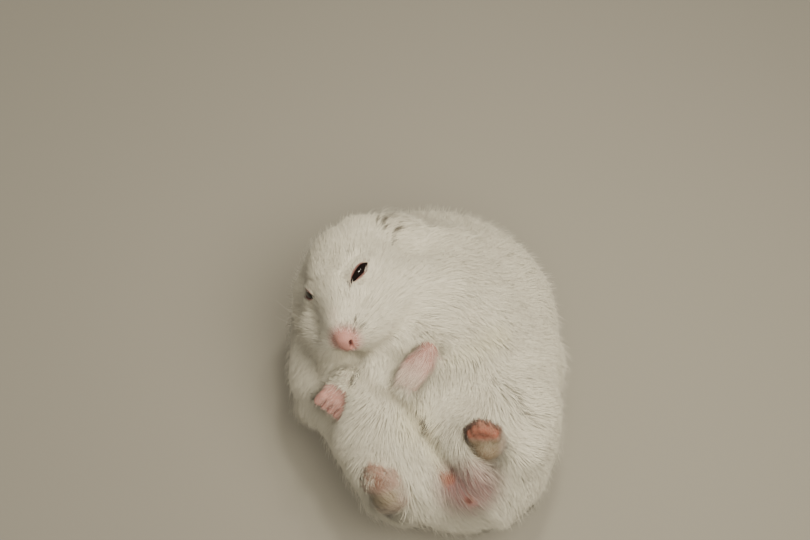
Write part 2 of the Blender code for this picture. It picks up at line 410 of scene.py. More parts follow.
def add_taper(mesh, place, start, start_radius, end, end_radius):
    """The hull of two balls."""
    balls = bmesh.new()
    add_ball(balls, place, start, (start_radius,) * 3)
    add_ball(balls, place, end, (end_radius,) * 3)
    hull = bmesh.new()
    for corner in balls.verts:
        hull.verts.new(corner.co)
    balls.free()
    bmesh.ops.convex_hull(hull, input=hull.verts[:], use_existing_faces=False)
    loose = [corner for corner in hull.verts if not corner.link_faces]
    bmesh.ops.delete(hull, geom=loose, context="VERTS")
    add_part(mesh, hull)


def add_bend(mesh, place, points, radii):
    """Tapers end to end along a bent line."""
    for first, last, start, end in zip(points, points[1:], radii, radii[1:]):
        add_taper(mesh, place, first, start, last, end)


# --- the skin ---------------------------------------------------------------------------------


def finder_of(mesh):
    """A tree of a mesh's faces, in millimetres."""
    mesh.calc_loop_triangles()
    faces = read(mesh.loop_triangles, "vertices", 3, np.int32)
    return BVHTree.FromPolygons(corners_of(mesh).tolist(), faces.tolist())


def node_shape(whole, node, out):
    """Adds a merged copy of a node, moved out to close the seams between the nodes."""
    part = bmesh.new()
    part.from_mesh(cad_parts[node].data)
    bmesh.ops.remove_doubles(part, verts=part.verts, dist=1e-6)
    bmesh.ops.recalc_face_normals(part, faces=part.faces)
    part.normal_update()
    for corner in part.verts:
        corner.co += corner.normal * out * MM
    add_part(whole, part)


def node_finder():
    """A tree of all the nodes' faces, and the node that each face belongs to."""
    corners = []
    faces = []
    owners = []
    for index, node in enumerate(FLESH):
        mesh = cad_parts[node].data
        start = len(corners)
        corners += [corner.co / MM for corner in mesh.vertices]
        faces += [[start + corner for corner in face.vertices] for face in mesh.polygons]
        owners += [index] * len(mesh.polygons)
    return BVHTree.FromPolygons(corners, faces), np.array(owners)


FINDER, OWNERS = node_finder()


def owners_of(points):
    """The node nearest to each point."""
    nearest = [FINDER.find_nearest(Vector(point))[2] for point in points]
    return OWNERS[nearest]


def off_paw(points, node):
    """How far a place lies from a paw's own flesh."""
    paw = PAWS[node]
    local = paw.within(points)
    local[:, 1] -= np.clip(local[:, 1], paw.start + paw.reach, 8.0)
    return np.linalg.norm(local, axis=1) - paw.reach


def paws_trimmed(points, owners, flesh=None):
    """Hands the skin round each paw to its leg, and the flesh of a paw to the paw."""
    for node in PAW_NODES:
        near = off_paw(points, node) < 0.0
        mine = near & (owners == FLESH.index(node) if flesh is None else flesh)
        leg = node.replace("paw", "leg").replace("foot", "leg")
        owners = np.where(owners == FLESH.index(node), FLESH.index(leg), owners)
        owners = np.where(mine, FLESH.index(node), owners)
    return owners


def belongs(owners, *nodes):
    """1 where the nearest node is one of these, and 0 elsewhere."""
    return np.isin(owners, [FLESH.index(node) for node in nodes]).astype(float)


def column(number):
    """One figure of the coat's table for each node of flesh."""
    return np.array([COAT[node][number] for node in FLESH])


def nearness(points):
    """How close each place is to the nose, the eyes and the bare skin by the tail, from 0 to 1."""
    nose = 1.0 - step(far(points, NOSE_TIP), 2.0, 11.5)
    eyes = [1.0 - step(far(points, EYES[side].origin), 2.2, 6.5) for side in (LEFT, RIGHT)]
    groin = blob(points, GROIN, 8.5, 0.3)
    return nose, np.maximum(*eyes), groin


def coat_depth(points, depth):
    """How far the skin lies under the coat's tips."""
    nose, eyes, groin = nearness(points)
    return depth * (1.0 - 0.86 * nose) * (1.0 - 0.80 * eyes) * (1.0 - 0.62 * groin)


SWELL = 1.5


def bare_body():
    """The body, swollen to close the hollows and drawn in by the coat's depth.

    The left hind foot stands clear of it and is left out.
    """
    whole = bmesh.new()
    for node in (*FLESH, *EYE_NODES):
        if node != "hindfoot_left":
            node_shape(whole, node, SWELL)
    level = Place((0, 0, 0), (0, 1, 0), (0, 0, 1))
    for centre, radius in FILLS:
        add_ball(whole, level, centre, (radius + SWELL,) * 3)
    made = melt("under", whole, voxel=0.6, relax=4)
    mesh = made.data
    edges = read(mesh.edges, "vertices", 2, np.int32)
    points = corners_of(mesh)
    owners = paws_trimmed(points, owners_of(points))
    paws = np.minimum(even_out(belongs(owners, *PAW_NODES), edges, 3) * 3.0, 1.0)
    points = even_out(points, edges, 320, 1.0 - paws)
    ears = belongs(owners, "ear_left") + 0.6 * belongs(owners, "ear_right")
    ears = np.minimum(even_out(ears, edges, 6) * 1.8, 1.0)
    points = even_out(points, edges, 200, 1.0 - ears)
    points = even_out(points, edges, 6)
    move_corners(mesh, points)
    depth = column(DEPTH)
    for node, paw in PAWS.items():
        depth[FLESH.index(node)] = paw.depth
    normals = unit(even_out(read(mesh.vertices, "normal", 3), edges, 10))
    points -= normals * (SWELL - 0.2)
    depth = even_out(coat_depth(points, depth[owners]), edges, 26)
    move_corners(mesh, points - normals * depth[:, None])
    shell = bmesh.new()
    shell.from_mesh(mesh)
    bpy.data.objects.remove(made)
    return melt("body", shell, voxel=0.52, relax=3)


def add_forepaw(mesh, place):
    """Wrist, palm, four fingers with knuckles and finger pads, and the stub of a thumb."""
    curl, wide = place.curl, place.width
    add_taper(mesh, place, (0, 2.0 * curl - 3.6, -1.8), 1.7 * wide, (0, 1.6, -0.2), 2.0 * wide)
    add_ball(mesh, place, (0, 3.2, 0), (2.6 * wide, 3.2, 1.5 * wide))
    add_ball(mesh, place, (wide, 1.6, -1.1), (0.9, 1.1, 0.7))
    add_ball(mesh, place, (-wide, 1.8, -1.1), (0.9, 1.0, 0.7))
    add_ball(mesh, place, (2.1 * wide, 2.8, -0.9), (0.6, 0.9, 0.6))
    for number in range(4):
        x = (number - 1.5) * wide
        knuckle = (x * 1.15, 5.0, 0.25)
        joint = (x * 1.22, 7.0 - 0.5 * curl, 0.2 - 0.4 * curl)
        tip = (x * 1.08, 8.7 - 2.6 * curl, -0.5 - 1.9 * curl)
        add_bend(mesh, place, [knuckle, joint, tip], [0.90 * wide, 0.70 * wide, 0.58 * wide])
        add_ball(mesh, place, (x * 1.08, 8.3 - 2.4 * curl, -0.8 - 1.9 * curl), (0.5, 0.62, 0.45))
        add_ball(mesh, place, (x * 0.95, 4.6, -1.0), (0.6, 0.7, 0.55))


TOES = (7.5, 8.7, 9.2, 8.8, 7.6)


def add_hindfoot(mesh, place):
    """Heel, sole, five toes held close with their pads, and the four pads behind them."""
    wide = place.width
    add_taper(mesh, place, (0, 0.4, 0.7), 2.1 * wide, (0, 2.8, 0), 2.8 * wide)
    add_ball(mesh, place, (0, 4.2, -0.1), (3.1 * wide, 3.9, 1.9))
    for number, reach in enumerate(TOES):
        x = (number - 2.0) * wide
        root = (x * 0.95, reach - 3.2, -0.1)
        joint = (x, reach - 1.3, 0.1)
        tip = (x, reach - 0.4, -0.45)
        add_bend(mesh, place, [root, joint, tip], [1.25, 1.0, 0.88])
        add_ball(mesh, place, (x, reach - 0.7, -0.85), (0.80, 0.95, 0.60))
    for number in range(4):
        x = (number - 1.5) * wide
        add_ball(mesh, place, (x * 1.2, 6.5 - 0.25 * x * x, -0.85), (1.1, 1.3, 0.75))


def paw_meshes():
    whole = bmesh.new()
    for node in PAW_NODES[:2]:
        add_forepaw(whole, PAWS[node])
    for node in PAW_NODES[2:]:
        add_hindfoot(whole, PAWS[node])
    return melt("paws", whole, voxel=0.21, relax=4)


def refine(mesh, centre, radius):
    """Halves the faces near a place."""
    near = [e for e in mesh.edges if (e.verts[0].co / MM - centre).length < radius]
    bmesh.ops.subdivide_edges(mesh, edges=near, cuts=1, use_grid_fill=True)
    bmesh.ops.triangulate(mesh, faces=[f for f in mesh.faces if len(f.verts) > 3])


def joined_skin():
    """Body and paws as one closed skin with finer faces at the face, and the paws' own faces."""
    body = bare_body()
    paws = paw_meshes()
    flesh = finder_of(paws.data)
    join = body.modifiers.new("join", "BOOLEAN")
    join.operation = "UNION"
    join.solver = "MANIFOLD"
    join.object = paws
    settle(body)
    bpy.data.objects.remove(paws)
    mesh = bmesh.new()
    mesh.from_mesh(body.data)
    bpy.data.objects.remove(body)
    bmesh.ops.triangulate(mesh, faces=mesh.faces)
    eyes = [(EYES[side].origin, radius) for side in (LEFT, RIGHT) for radius in (4.6, 3.6)]
    for place, radius in (*eyes, (NOSE_TIP, 4.5), (NOSE_TIP, 2.8), (ANUS, 3.0), (PAPILLA, 3.0)):
        refine(mesh, Vector(place), radius)
    return put("skin", mesh), flesh


# --- the face and the small folds ---------------------------------------------------------------


def slit_share(local):
    """How far a place lies from the slit's middle line, 1 at the lids' edge."""
    run = np.clip(np.abs(local[:, 1]) / SLIT[1], 0.0, 1.6)
    half = SLIT[0] * np.maximum(1.0 - run ** 2.4, 0.0) ** 0.8
    half = half * (1.0 - 0.28 * np.clip(local[:, 1] / SLIT[1], -1.0, 1.0))
    return np.where(run < 1.0, np.abs(local[:, 0]) / np.maximum(half, 0.05), 9.0)


def eyeball_height(local):
    width, length, depth = EYEBALL
    inside = 1.0 - (local[:, 0] / width) ** 2 - (local[:, 1] / length) ** 2
    return EYE_STAND - depth + depth * np.sqrt(np.maximum(inside, 0.0)), inside > 0.0


def shape_lids(points, normals):
    """Opens each eye's slit and draws the lids over the eyeball, with a fold round them."""
    for side in (LEFT, RIGHT):
        place = EYES[side]
        local = place.within(points)
        near = (far(points, place.origin) < 5.5) & (normals @ place.axes[2] > 0.15)
        height, over = eyeball_height(local)
        share = slit_share(local)
        oval = np.sqrt((local[:, 0] / 1.9) ** 2 + (local[:, 1] / 3.2) ** 2)
        lid = height + 0.16 + 0.10 * np.exp(-((share - 1.35) / 0.35) ** 2)
        lid = np.where(over, lid, local[:, 2])
        rise = (1.0 - step(oval, 0.85, 1.5)) * near
        raised = np.maximum(local[:, 2], local[:, 2] + (lid - local[:, 2]) * rise)
        raised -= 0.22 * np.exp(-((oval - 1.35) / 0.16) ** 2) * near
        sunk = height - 0.30 * np.sqrt(np.maximum(1.0 - share, 0.0)) - 0.12
        raised = np.where(near & (share < 1.0), sunk, raised)
        local[:, 2] = np.where(near, raised, local[:, 2])
        points = np.where(near[:, None], place.world(local), points)
    return points


def shape_nose(points, normals):
    """The nostrils, the cleft under them, the mouth and the two swells of the whisker pads."""
    push = 0.25 * blob(points, NOSE_TIP, 2.6, 0.2)
    push += 0.90 * blob(points, HEAD.world((0, 11.2, -6.6)), 2.8, 0.1)
    for side in (LEFT, RIGHT):
        push += 0.90 * blob(points, HEAD.world((side * 3.2, 8.6, -6.6)), 4.2, 0.1)
        corner = HEAD.world((side * 2.6, 7.2, -8.6))
        push -= 0.45 * band(points, HEAD.world((0, 10.6, -7.6)), corner, 0.55, 0.1)
    cleft = band(points, HEAD.world((0, 13.2, -5.4)), HEAD.world((0, 10.8, -7.6)), 0.42, 0.1)
    push -= 0.40 * cleft + 0.80 * nostril_share(points)
    return points + normals * (push * (HEAD.within(points)[:, 1] > 4.0))[:, None]


class Chart:
    """The lines drawn on the coat, with their ends laid on the coat's surface."""

    def __init__(self, outer, faces):
        self.surface = BVHTree.FromPolygons(outer.tolist(), faces.tolist())
        self.folds = [self.laid(*line) for line in FOLDS]
        self.grey = [self.laid(*line) for line in GREY]

    def laid(self, start, end, radius, strength):
        ends = [np.array(self.surface.find_nearest(Vector(place))[0]) for place in (start, end)]
        return (*ends, radius, strength)

    def share(self, lines, places, core, wide=1.0):
        """1 along the lines, and 0 past their radius."""
        share = np.zeros(len(places))
        for start, end, radius, strength in lines:
            share = np.maximum(share, strength * band(places, start, end, radius * wide, core))
        return share

    def fold(self, places, wide=1.0):
        return self.share(self.folds, places, 0.2, wide)


def shape_folds(points, normals, outer, chart):
    """The papilla stands up, the anus is a puckered pit, and the skin sinks along the folds."""
    push = 1.15 * blob(points, PAPILLA, 1.6, 0.05)
    push += 0.55 * blob(points, ANUS, 1.5, 0.2)
    push -= 1.10 * blob(points, ANUS, 0.7, 0.1)
    push -= 1.0 * chart.fold(outer, 1.8)
    return points + normals * push[:, None]


def coat_surface(points, normals, owners, edges):
    """Where the coat's tips are, over each corner of the skin."""
    depth = coat_depth(points, even_out(column(DEPTH)[owners], edges, 14))
    return points + normals * depth[:, None]


def finish_skin():
    """The carved skin, with its arrays."""
    made, flesh = joined_skin()
    mesh = made.data
    edges = read(mesh.edges, "vertices", 2, np.int32)
    points = corners_of(mesh)
    paws = np.array([flesh.find_nearest(Vector(point), 0.15)[2] is not None for point in points])
    detail = sum(blob(points, place.world((0, 4.5, 0)), 9.0, 0.6) for place in PAWS.values())
    points = even_out(points, edges, 5, np.clip(detail, 0.0, 1.0) * 0.85)
    move_corners(mesh, points)
    normals = unit(even_out(read(mesh.vertices, "normal", 3), edges, 4))
    owners = paws_trimmed(points, owners_of(points), paws)
    outer = coat_surface(points, normals, owners, edges)
    chart = Chart(outer, read(mesh.polygons, "vertices", 3, np.int32))
    points = shape_nose(points, normals)
    points = shape_folds(points, normals, outer, chart)
    points = shape_lids(points, normals)
    points[:, 2] = np.maximum(points[:, 2], 0.05)
    move_corners(mesh, points)
    return made, points, edges, owners, outer, chart


# --- markings and painted shade -----------------------------------------------------------------

# Grey hairs: the streaks at the nape and the left ear, the bridge of the nose, the corners of the
# eyes, the tuft on the belly and the crease below it, the flecks on the left haunch and the right
# arm, and what the winter coat leaves of the stripe along the back. The line along the top of the
# nose is dark hair and painted shade on the edge between its two planes.
GREY = (
    *line(spot("neck", 0.27, 0.84, 0.90), (0.45, 0.8), spot("ear_left", 0.47, 0.65, 0.62)),
    *line(spot("neck", 0.31, 0.81, 0.94), (0.62, 1.0), spot("ear_left", 0.75, 0.47, 0.69)),
    *line(spot("neck", 0.36, 0.89, 0.85), (0.80, 1.0), spot("neck", 0.385, 0.70, 0.95)),
    *line(spot("neck", 0.42, 0.86, 0.88), (0.65, 1.0), spot("neck", 0.405, 0.70, 0.96)),
    *line(spot("neck", 0.34, 0.86, 0.90), (0.40, 0.8), spot("neck", 0.37, 0.78, 0.94)),
    *line(spot("neck", 0.38, 0.72, 0.96), (0.45, 0.9), spot("neck", 0.38, 0.61, 0.96)),
    # Dark hair and painted shade on the edge between the two planes of the nose's top.
    *line(spot("head", 0.50, 0.07, 0.85), (0.5, 0.9), spot("head", 0.51, 0.14, 0.92)),
    *line(spot("head", 0.43, 0.09, 0.90), (1.6, 0.45), spot("head", 0.56, 0.09, 0.88)),
    *line(EYES[LEFT].world((0, 2.3, 0.3)), (0.45, 0.8), EYES[LEFT].world((-0.1, 3.5, 0.1))),
    *line(EYES[LEFT].world((0, -2.7, 0.3)), (0.40, 0.6), EYES[LEFT].world((0.1, -3.5, 0.1))),
    *line(EYES[RIGHT].world((0, 2.7, 0.3)), (0.40, 0.7), EYES[RIGHT].world((0.1, 4.3, 0.1))),
    *line(BELLY_TUFT + (-0.5, 1.0, 0.2), (0.6, 1.0), BELLY_TUFT + (-0.2, -0.4, 0.0)),
    *line(
        BELLY_TUFT + (1.0, 0.2, 0.0), (0.7, 1.0),
        BELLY_TUFT + (1.4, -1.6, 0.0), (0.35, 0.65),
        spot("trunk", 0.45, 0.22, 0.90), (0.32, 0.6),
        spot("trunk", 0.50, 0.15, 0.85), (0.30, 0.5),
        spot("trunk", 0.52, 0.13, 0.82),
    ),
    *line(
        spot("hindleg_left", 0.52, 0.71, 0.97), (0.7, 1.0),
        spot("hindleg_left", 0.54, 0.64, 0.96),
    ),
    *line(
        spot("hindleg_left", 0.54, 0.60, 0.95), (1.5, 0.42),
        spot("hindleg_left", 0.66, 0.56, 0.91),
    ),
    *line(
        spot("hindleg_left", 0.42, 0.75, 0.98), (1.5, 0.25),
        spot("hindleg_left", 0.30, 0.80, 1.0),
    ),
    *line(
        spot("foreleg_right", 0.62, 0.10, 0.97), (1.0, 0.5),
        spot("foreleg_right", 0.68, 0.16, 0.98),
    ),
    *line(spot("trunk", 0.46, 1.0, 0.50), (2.6, 0.30), spot("trunk", 0.46, 0.92, 0.06)),
    *line(spot("trunk", 0.46, 0.92, 0.0), (2.4, 0.40), spot("trunk", 0.54, 0.16, 0.0)),
)


def pads(points, owners):
    """The bare share of the pads, palms and digit tips."""
    bare = np.zeros(len(points))
    for node, place in PAWS.items():
        local = place.within(points)
        if node.startswith("hind"):
            sole = step(-local[:, 2], -0.2, 0.9) * step(local[:, 1], 5.0, 6.6)
            tips = step(local[:, 1], 7.8, 9.0)
        else:
            sole = step(-local[:, 2], 0.2, 0.9)
            tips = step(local[:, 1], 7.6, 9.0)
        bare = np.maximum(bare, place.bare * belongs(owners, node) * np.maximum(sole, tips))
    return bare


def nostril_share(points):
    """1 in each nostril's comma."""
    local = HEAD.within(points)
    flat = local * (1, 0, 1)
    front = step(local[:, 1], 9.5, 10.5)
    shares = []
    for side in (LEFT, RIGHT):
        start = np.array((side * 0.75, 0, -6.0))
        end = np.array((side * 1.10, 0, -5.3))
        shares.append(front * band(flat, start, end, 0.40, 0.3))
    return np.maximum(*shares)


def lid_share(points):
    """1 on the bare edge of the lids and at the inner corner of each eye."""
    rim = np.zeros(len(points))
    for place in EYES.values():
        local = place.within(points)
        share = slit_share(local)
        close = (np.abs(local[:, 2]) < 1.8) & (np.abs(local[:, 1]) < 3.8)
        rim = np.maximum(rim, (1.0 - step(share, 1.15, 1.9)) * close)
        corner = band(points, place.world((0, 2.5, 0.2)), place.world((-0.1, 3.7, 0.0)), 0.45, 0.3)
        rim = np.maximum(rim, corner)
    return rim


def finger_gap_shade(points, owners):
    """Painted shade: 1 in the gaps between the curled fingers of the right forepaw."""
    local = PAWS["forepaw_right"].within(points)
    share = np.zeros(len(points))
    for x in (-1.45, 0.0, 1.45):
        share = np.maximum(share, np.exp(-((local[:, 0] - x) / 0.25) ** 2))
    share *= step(local[:, 1], 4.8, 5.8)
    return share * belongs(owners, "forepaw_right")


def markings_and_shade(points, owners, chart):
    """Grey hair with painted shade along the nose's top, pink skin, dark skin with painted shade
    between the curled fingers, and cream tint at each place, from 0 to 1.
    """
    bridge = band(points, NOSE_TIP, HEAD.world((-0.3, 7.5, -1.8)), 2.4, 0.2)
    pink = np.maximum.reduce((
        1.0 - step(far(points, NOSE_TIP), 2.4, 4.8),
        0.75 * bridge,
        0.95 * belongs(owners, *PAW_NODES[:2]),
        0.45 * belongs(owners, *PAW_NODES[2:]),
    ))
    faded = step(PAWS["forepaw_left"].within(points)[:, 1], 4.0, 8.5)
    pink *= 1.0 - 0.45 * faded * belongs(owners, "forepaw_left")
    pink = np.maximum(pink, 0.9 * blob(points, GROIN, 8.0, 0.35))
    dark = np.maximum.reduce((
        nostril_share(points),
        0.82 * lid_share(points),
        0.7 * blob(points, ANUS, 1.1, 0.3),
        # Painted shade between the curled fingers.
        0.75 * finger_gap_shade(points, owners),
    ))
    arm = (spot("foreleg_left", 0.35, 0.05, 1.0), spot("foreleg_left", 0.8, 0.3, 0.85))
    cream = np.maximum.reduce((
        0.8 * band(points, *arm, 5.0, 0.1),
        0.7 * blob(points, BELLY_TUFT + (-0.5, -1.0, 0.0), 6.0, 0.1),
        0.6 * band(points, BELLY_TUFT, CREASE_END, 3.0, 0.1),
    ))
    return np.stack((chart.share(chart.grey, points, 0.4), pink, dark, cream), axis=1)


def flesh_tones_and_shade(points, owners, chart):
    """Salmon toes, taupe soles with painted shade on the band of pads behind the toes, mauve skin
    by the tail, and painted shade along the folds, from 0 to 1.
    """
    salmon = np.maximum(0.85 * blob(points, PAPILLA, 1.8, 0.5), 0.7 * blob(points, ANUS, 1.5, 0.4))
    taupe_and_shade = np.zeros(len(points))
    feet = (("hindfoot_left", 6.4, 1.0, 0.95), ("hindfoot_right", 5.4, 0.5, 0.45))
    for node, start, shaded, heel in feet:
        local = PAWS[node].within(points)
        mine = belongs(owners, node)
        toes = step(local[:, 1], start, start + 1.2)
        tips = blob(points, PAWS[node].world((0, 8.6, -0.4)), 3.6, 0.4)
        salmon = np.maximum(salmon, mine * toes * (shaded + (1.0 - shaded) * tips))
        edge = np.minimum(step(np.abs(local[:, 0]), 2.4, 3.4) + step(local[:, 2], 0.3, 1.2), 1.0)
        # The taupe is the soles' own tone and painted shade on the band of pads behind the toes,
        # where it is strongest; it fades at the sides and the back of each foot.
        sole = heel * (1.0 - 0.8 * edge)
        sole += (0.95 - sole) * step(local[:, 1], 2.5, 5.0) * (1.0 - 0.7 * edge)
        taupe_and_shade = np.maximum(taupe_and_shade, mine * (1.0 - toes) * sole)
    mauve = blob(points, GROIN, 9.0, 0.4) * (1.0 - belongs(owners, *PAW_NODES))
    mauve = np.maximum(mauve, 1.1 * lid_share(points))
    # The last column is painted shade along the folds.
    return np.stack((salmon, taupe_and_shade, mauve, chart.fold(points)), axis=1)


def all_colours(points, owners, chart):
    """Markings, tones and painted shade side by side."""
    marks = markings_and_shade(points, owners, chart)
    return np.concatenate((marks, flesh_tones_and_shade(points, owners, chart)), axis=1)


def set_colours(mesh, name, values):
    """Stores four figures for each corner of a mesh."""
    layer = mesh.attributes.new(name, "FLOAT_COLOR", "POINT")
    layer.data.foreach_set("color", values.astype(np.float32).ravel())


# --- the lie of the coat ------------------------------------------------------------------------

# The way the hair points at some places on the body. On the head it runs back from the nose, and
# on the paws down to the digits.
LIE = (
    # From the left cheek over the shoulder to the flank.
    ("foreleg_left", (0.18, 0.53, 0.94), (1.0, 0.05, -0.1)),
    ("foreleg_left", (0.25, 0.43, 0.87), (1.0, -0.15, -0.1)),
    ("foreleg_left", (0.47, 0.41, 0.84), (1.0, -0.25, 0.0)),
    ("foreleg_left", (0.37, 0.88, 0.90), (0.8, 0.5, -0.1)),
    ("foreleg_left", (0.78, 0.52, 0.79), (1.0, 0.1, -0.5)),
    ("trunk", (0.67, 0.81, 0.84), (0.7, 0.6, -0.4)),
    ("trunk", (0.51, 0.91, 0.78), (0.1, 0.6, -0.8)),
    ("trunk", (0.82, 0.68, 0.83), (1.0, 0.3, -0.5)),
    ("trunk", (0.91, 0.53, 0.77), (0.9, -0.1, -0.7)),
    ("trunk", (0.79, 0.41, 0.89), (1.0, 0.2, -0.3)),
    # The left arm, the chest and the belly.
    ("neck", (0.58, 0.15, 0.92), (1.0, -0.25, -0.1)),
    ("foreleg_left", (0.35, 0.30, 0.85), (0.9, -0.6, -0.1)),
    ("neck", (0.50, 0.06, 0.85), (0.5, -0.9, -0.1)),
    ("foreleg_left", (0.66, 0.33, 0.81), (0.5, -0.9, 0.0)),
    ("foreleg_left", (0.50, 0.22, 0.83), (0.1, -1.0, 0.0)),
    ("foreleg_left", (0.35, 0.14, 0.87), (-0.2, -1.0, -0.1)),
    ("foreleg_left", (0.31, 0.02, 0.81), (-0.4, -0.9, -0.2)),
    ("trunk", (0.43, 0.47, 1.00), (-0.2, -1.0, 0.0)),
    ("trunk", (0.32, 0.41, 0.96), (-0.1, -1.0, 0.0)),
    ("trunk", (0.39, 0.29, 0.95), (-0.1, -1.0, 0.0)),
    ("trunk", (0.29, 0.34, 0.98), (-0.3, -0.9, 0.0)),
    ("trunk", (0.60, 0.29, 0.93), (-0.7, -0.7, 0.0)),
    ("trunk", (0.55, 0.26, 0.92), (-0.6, -0.8, 0.0)),
    ("trunk", (0.50, 0.21, 0.90), (-0.5, -0.8, -0.1)),
    # The left haunch, fanning out round the foot.
    ("hindleg_left", (0.38, 0.67, 0.99), (0.2, -0.9, 0.0)),
    ("hindleg_left", (0.63, 0.66, 0.94), (0.9, 0.4, -0.4)),
    ("hindleg_left", (0.67, 0.38, 0.79), (1.0, 0.0, -0.4)),
    ("hindleg_left", (0.85, 0.20, 0.50), (0.7, -0.6, -0.4)),
    ("hindleg_left", (0.46, 0.20, 0.76), (0.5, -0.7, -0.5)),
    # The right shoulder and arm.
    ("foreleg_right", (0.45, 0.32, 0.94), (-0.5, -0.8, 0.0)),
    ("foreleg_right", (0.19, 0.48, 0.84), (-0.6, -0.7, -0.3)),
    ("head", (0.10, 0.35, 0.35), (-0.3, -0.9, -0.3)),
    ("foreleg_right", (0.16, 0.24, 0.79), (-0.7, -0.6, -0.4)),
    # The right haunch: arcs to the foot on one side and to the crease on the other.
    ("hindleg_right", (0.30, 0.72, 0.93), (-1.0, -0.3, -0.2)),
    ("hindleg_right", (0.46, 0.57, 0.94), (-0.8, -0.6, -0.2)),
    ("hindleg_right", (0.68, 0.51, 0.92), (0.4, -0.9, -0.1)),
    ("hindleg_right", (0.22, 0.45, 0.70), (-0.6, -0.7, -0.4)),
    ("hindleg_right", (0.49, 0.45, 0.88), (-0.4, -0.9, -0.3)),
    ("hindleg_right", (0.90, 0.33, 0.82), (0.6, -0.7, -0.2)),
    ("hindleg_right", (0.82, 0.15, 0.75), (0.7, -0.6, -0.3)),
    # Under the tail, the rump, the back and the flanks.
    ("trunk", (0.60, 0.08, 0.74), (0.6, -0.6, -0.4)),
    ("trunk", (0.53, 0.03, 0.64), (0.5, -0.6, -0.6)),
    ("trunk", (0.64, 0.01, 0.52), (0.3, -0.3, -0.9)),
    ("trunk", (0.46, 0.98, 0.38), (0.0, 0.2, -1.0)),
    ("trunk", (0.46, 0.59, 0.00), (0.0, -1.0, 0.0)),
    ("trunk", (0.63, 0.05, 0.09), (0.0, -0.7, 0.7)),
    ("trunk", (-0.03, 0.56, 0.38), (0.0, -0.7, -0.4)),
    ("trunk", (1.00, 0.50, 0.35), (0.1, -0.9, -0.4)),
    ("tail", (0.5, 0.5, 0.5), (0.7, -0.65, 0.2)),
)


def lie_of_coat(points, normals, owners, edges):
    """The way the hair points at each corner of the skin."""
    total = np.zeros_like(points)
    for node, parts, direction in LIE:
        weight = 1.0 / (far(points, spot(node, *parts)) ** 2 + 6.0) ** 1.6
        total += weight[:, None] * unit(direction)
    lie = unit(total)
    back = unit(points - NOSE_TIP)
    head = belongs(owners, "head", "nose", "ear_left", "ear_right")
    head = even_out(head, edges, 90)[:, None]
    lie = back * head + lie * (1.0 - head)
    for node, place in PAWS.items():
        mine = owners == FLESH.index(node)
        way = np.broadcast_to(place.axes[1], lie.shape)
        if node == "forepaw_left":
            wrist = step(-place.within(points)[:, 1], -2.0, 3.0)
            way = unit(way - wrist[:, None] * 1.2 * place.axes[0])
        lie = np.where(mine[:, None], way, lie)
    for _ in range(3):
        lie = even_out(lie, edges, 8)
        lie = unit(lie - normals * np.sum(lie * normals, axis=1, keepdims=True))
    for place in EYES.values():
        away = points - place.origin
        away = away - normals * np.sum(away * normals, axis=1, keepdims=True)
        share = 1.0 - step(np.linalg.norm(away, axis=1), 2.6, 5.2)
        away = unit(away)
        inward = np.maximum(-np.sum(lie * away, axis=1), 0.0)
        lie = unit(lie + away * (share * (inward * 1.2 + 0.25))[:, None])
    return lie


# --- the coat -----------------------------------------------------------------------------------

PATCH = 0.003
FLOOR_GAP = 0.05

# Tufts lean together in clumps of about this many.
CLUMP = 16


def root_places(points, faces, weight, count, pick):
    """Evenly spread roots: the face of each, and its place in the face."""
    a, b, c = (points[faces[:, k]] for k in range(3))
    area = np.linalg.norm(np.cross(b - a, c - a), axis=1) / 2.0
    share = np.cumsum(area * weight)
    steps = (np.arange(count) + pick.random(count)) / count * share[-1]
    face = np.searchsorted(share, steps).clip(0, len(faces) - 1)
    u, v = pick.random((2, count))
    over = u + v > 1.0
    u = np.where(over, 1.0 - u, u)
    v = np.where(over, 1.0 - v, v)
    return face, np.stack((1.0 - u - v, u, v), axis=1)


def tuft_corners(tufts, rings):
    """Each tuft's corners, the way they face round it, and how far along it they lie."""
    root, lie, out = tufts["root"], tufts["lie"], tufts["out"]
    aside = unit(np.cross(lie, out))
    angles = [angle * math.pi for angle in (0.5, 1.8333, 1.1667)]
    around = [aside * math.cos(angle) + out * math.sin(angle) * 0.6 for angle in angles]
    around = np.stack(around, axis=1)
    corners = []
    stops = (*np.linspace(0.0, 1.0, rings + 1)[:-1] ** 0.9, 1.0)
    for stop in stops:
        rise = 1.0 - (1.0 - stop) ** tufts["bow"]
        core = root + lie * (tufts["run"] * stop)[:, None] + out * (tufts["rise"] * rise)[:, None]
        core = core + tufts["drift"] * stop ** 2 - out * (tufts["sag"] * stop ** 2)[:, None]
        width = tufts["width"] * (0.75 + 0.9 * stop - 1.35 * stop ** 2)
        corners.append(core[:, None] + around * (width / 2.0)[:, None, None])
    corners[-1] = core[:, None]
    count = len(root)
    bends = np.concatenate([around] * rings + [np.zeros((count, 1, 3))], axis=1)
    shares = np.tile(np.repeat(stops, 3)[:-2], (count, 1))
    return np.concatenate(corners, axis=1), bends, shares


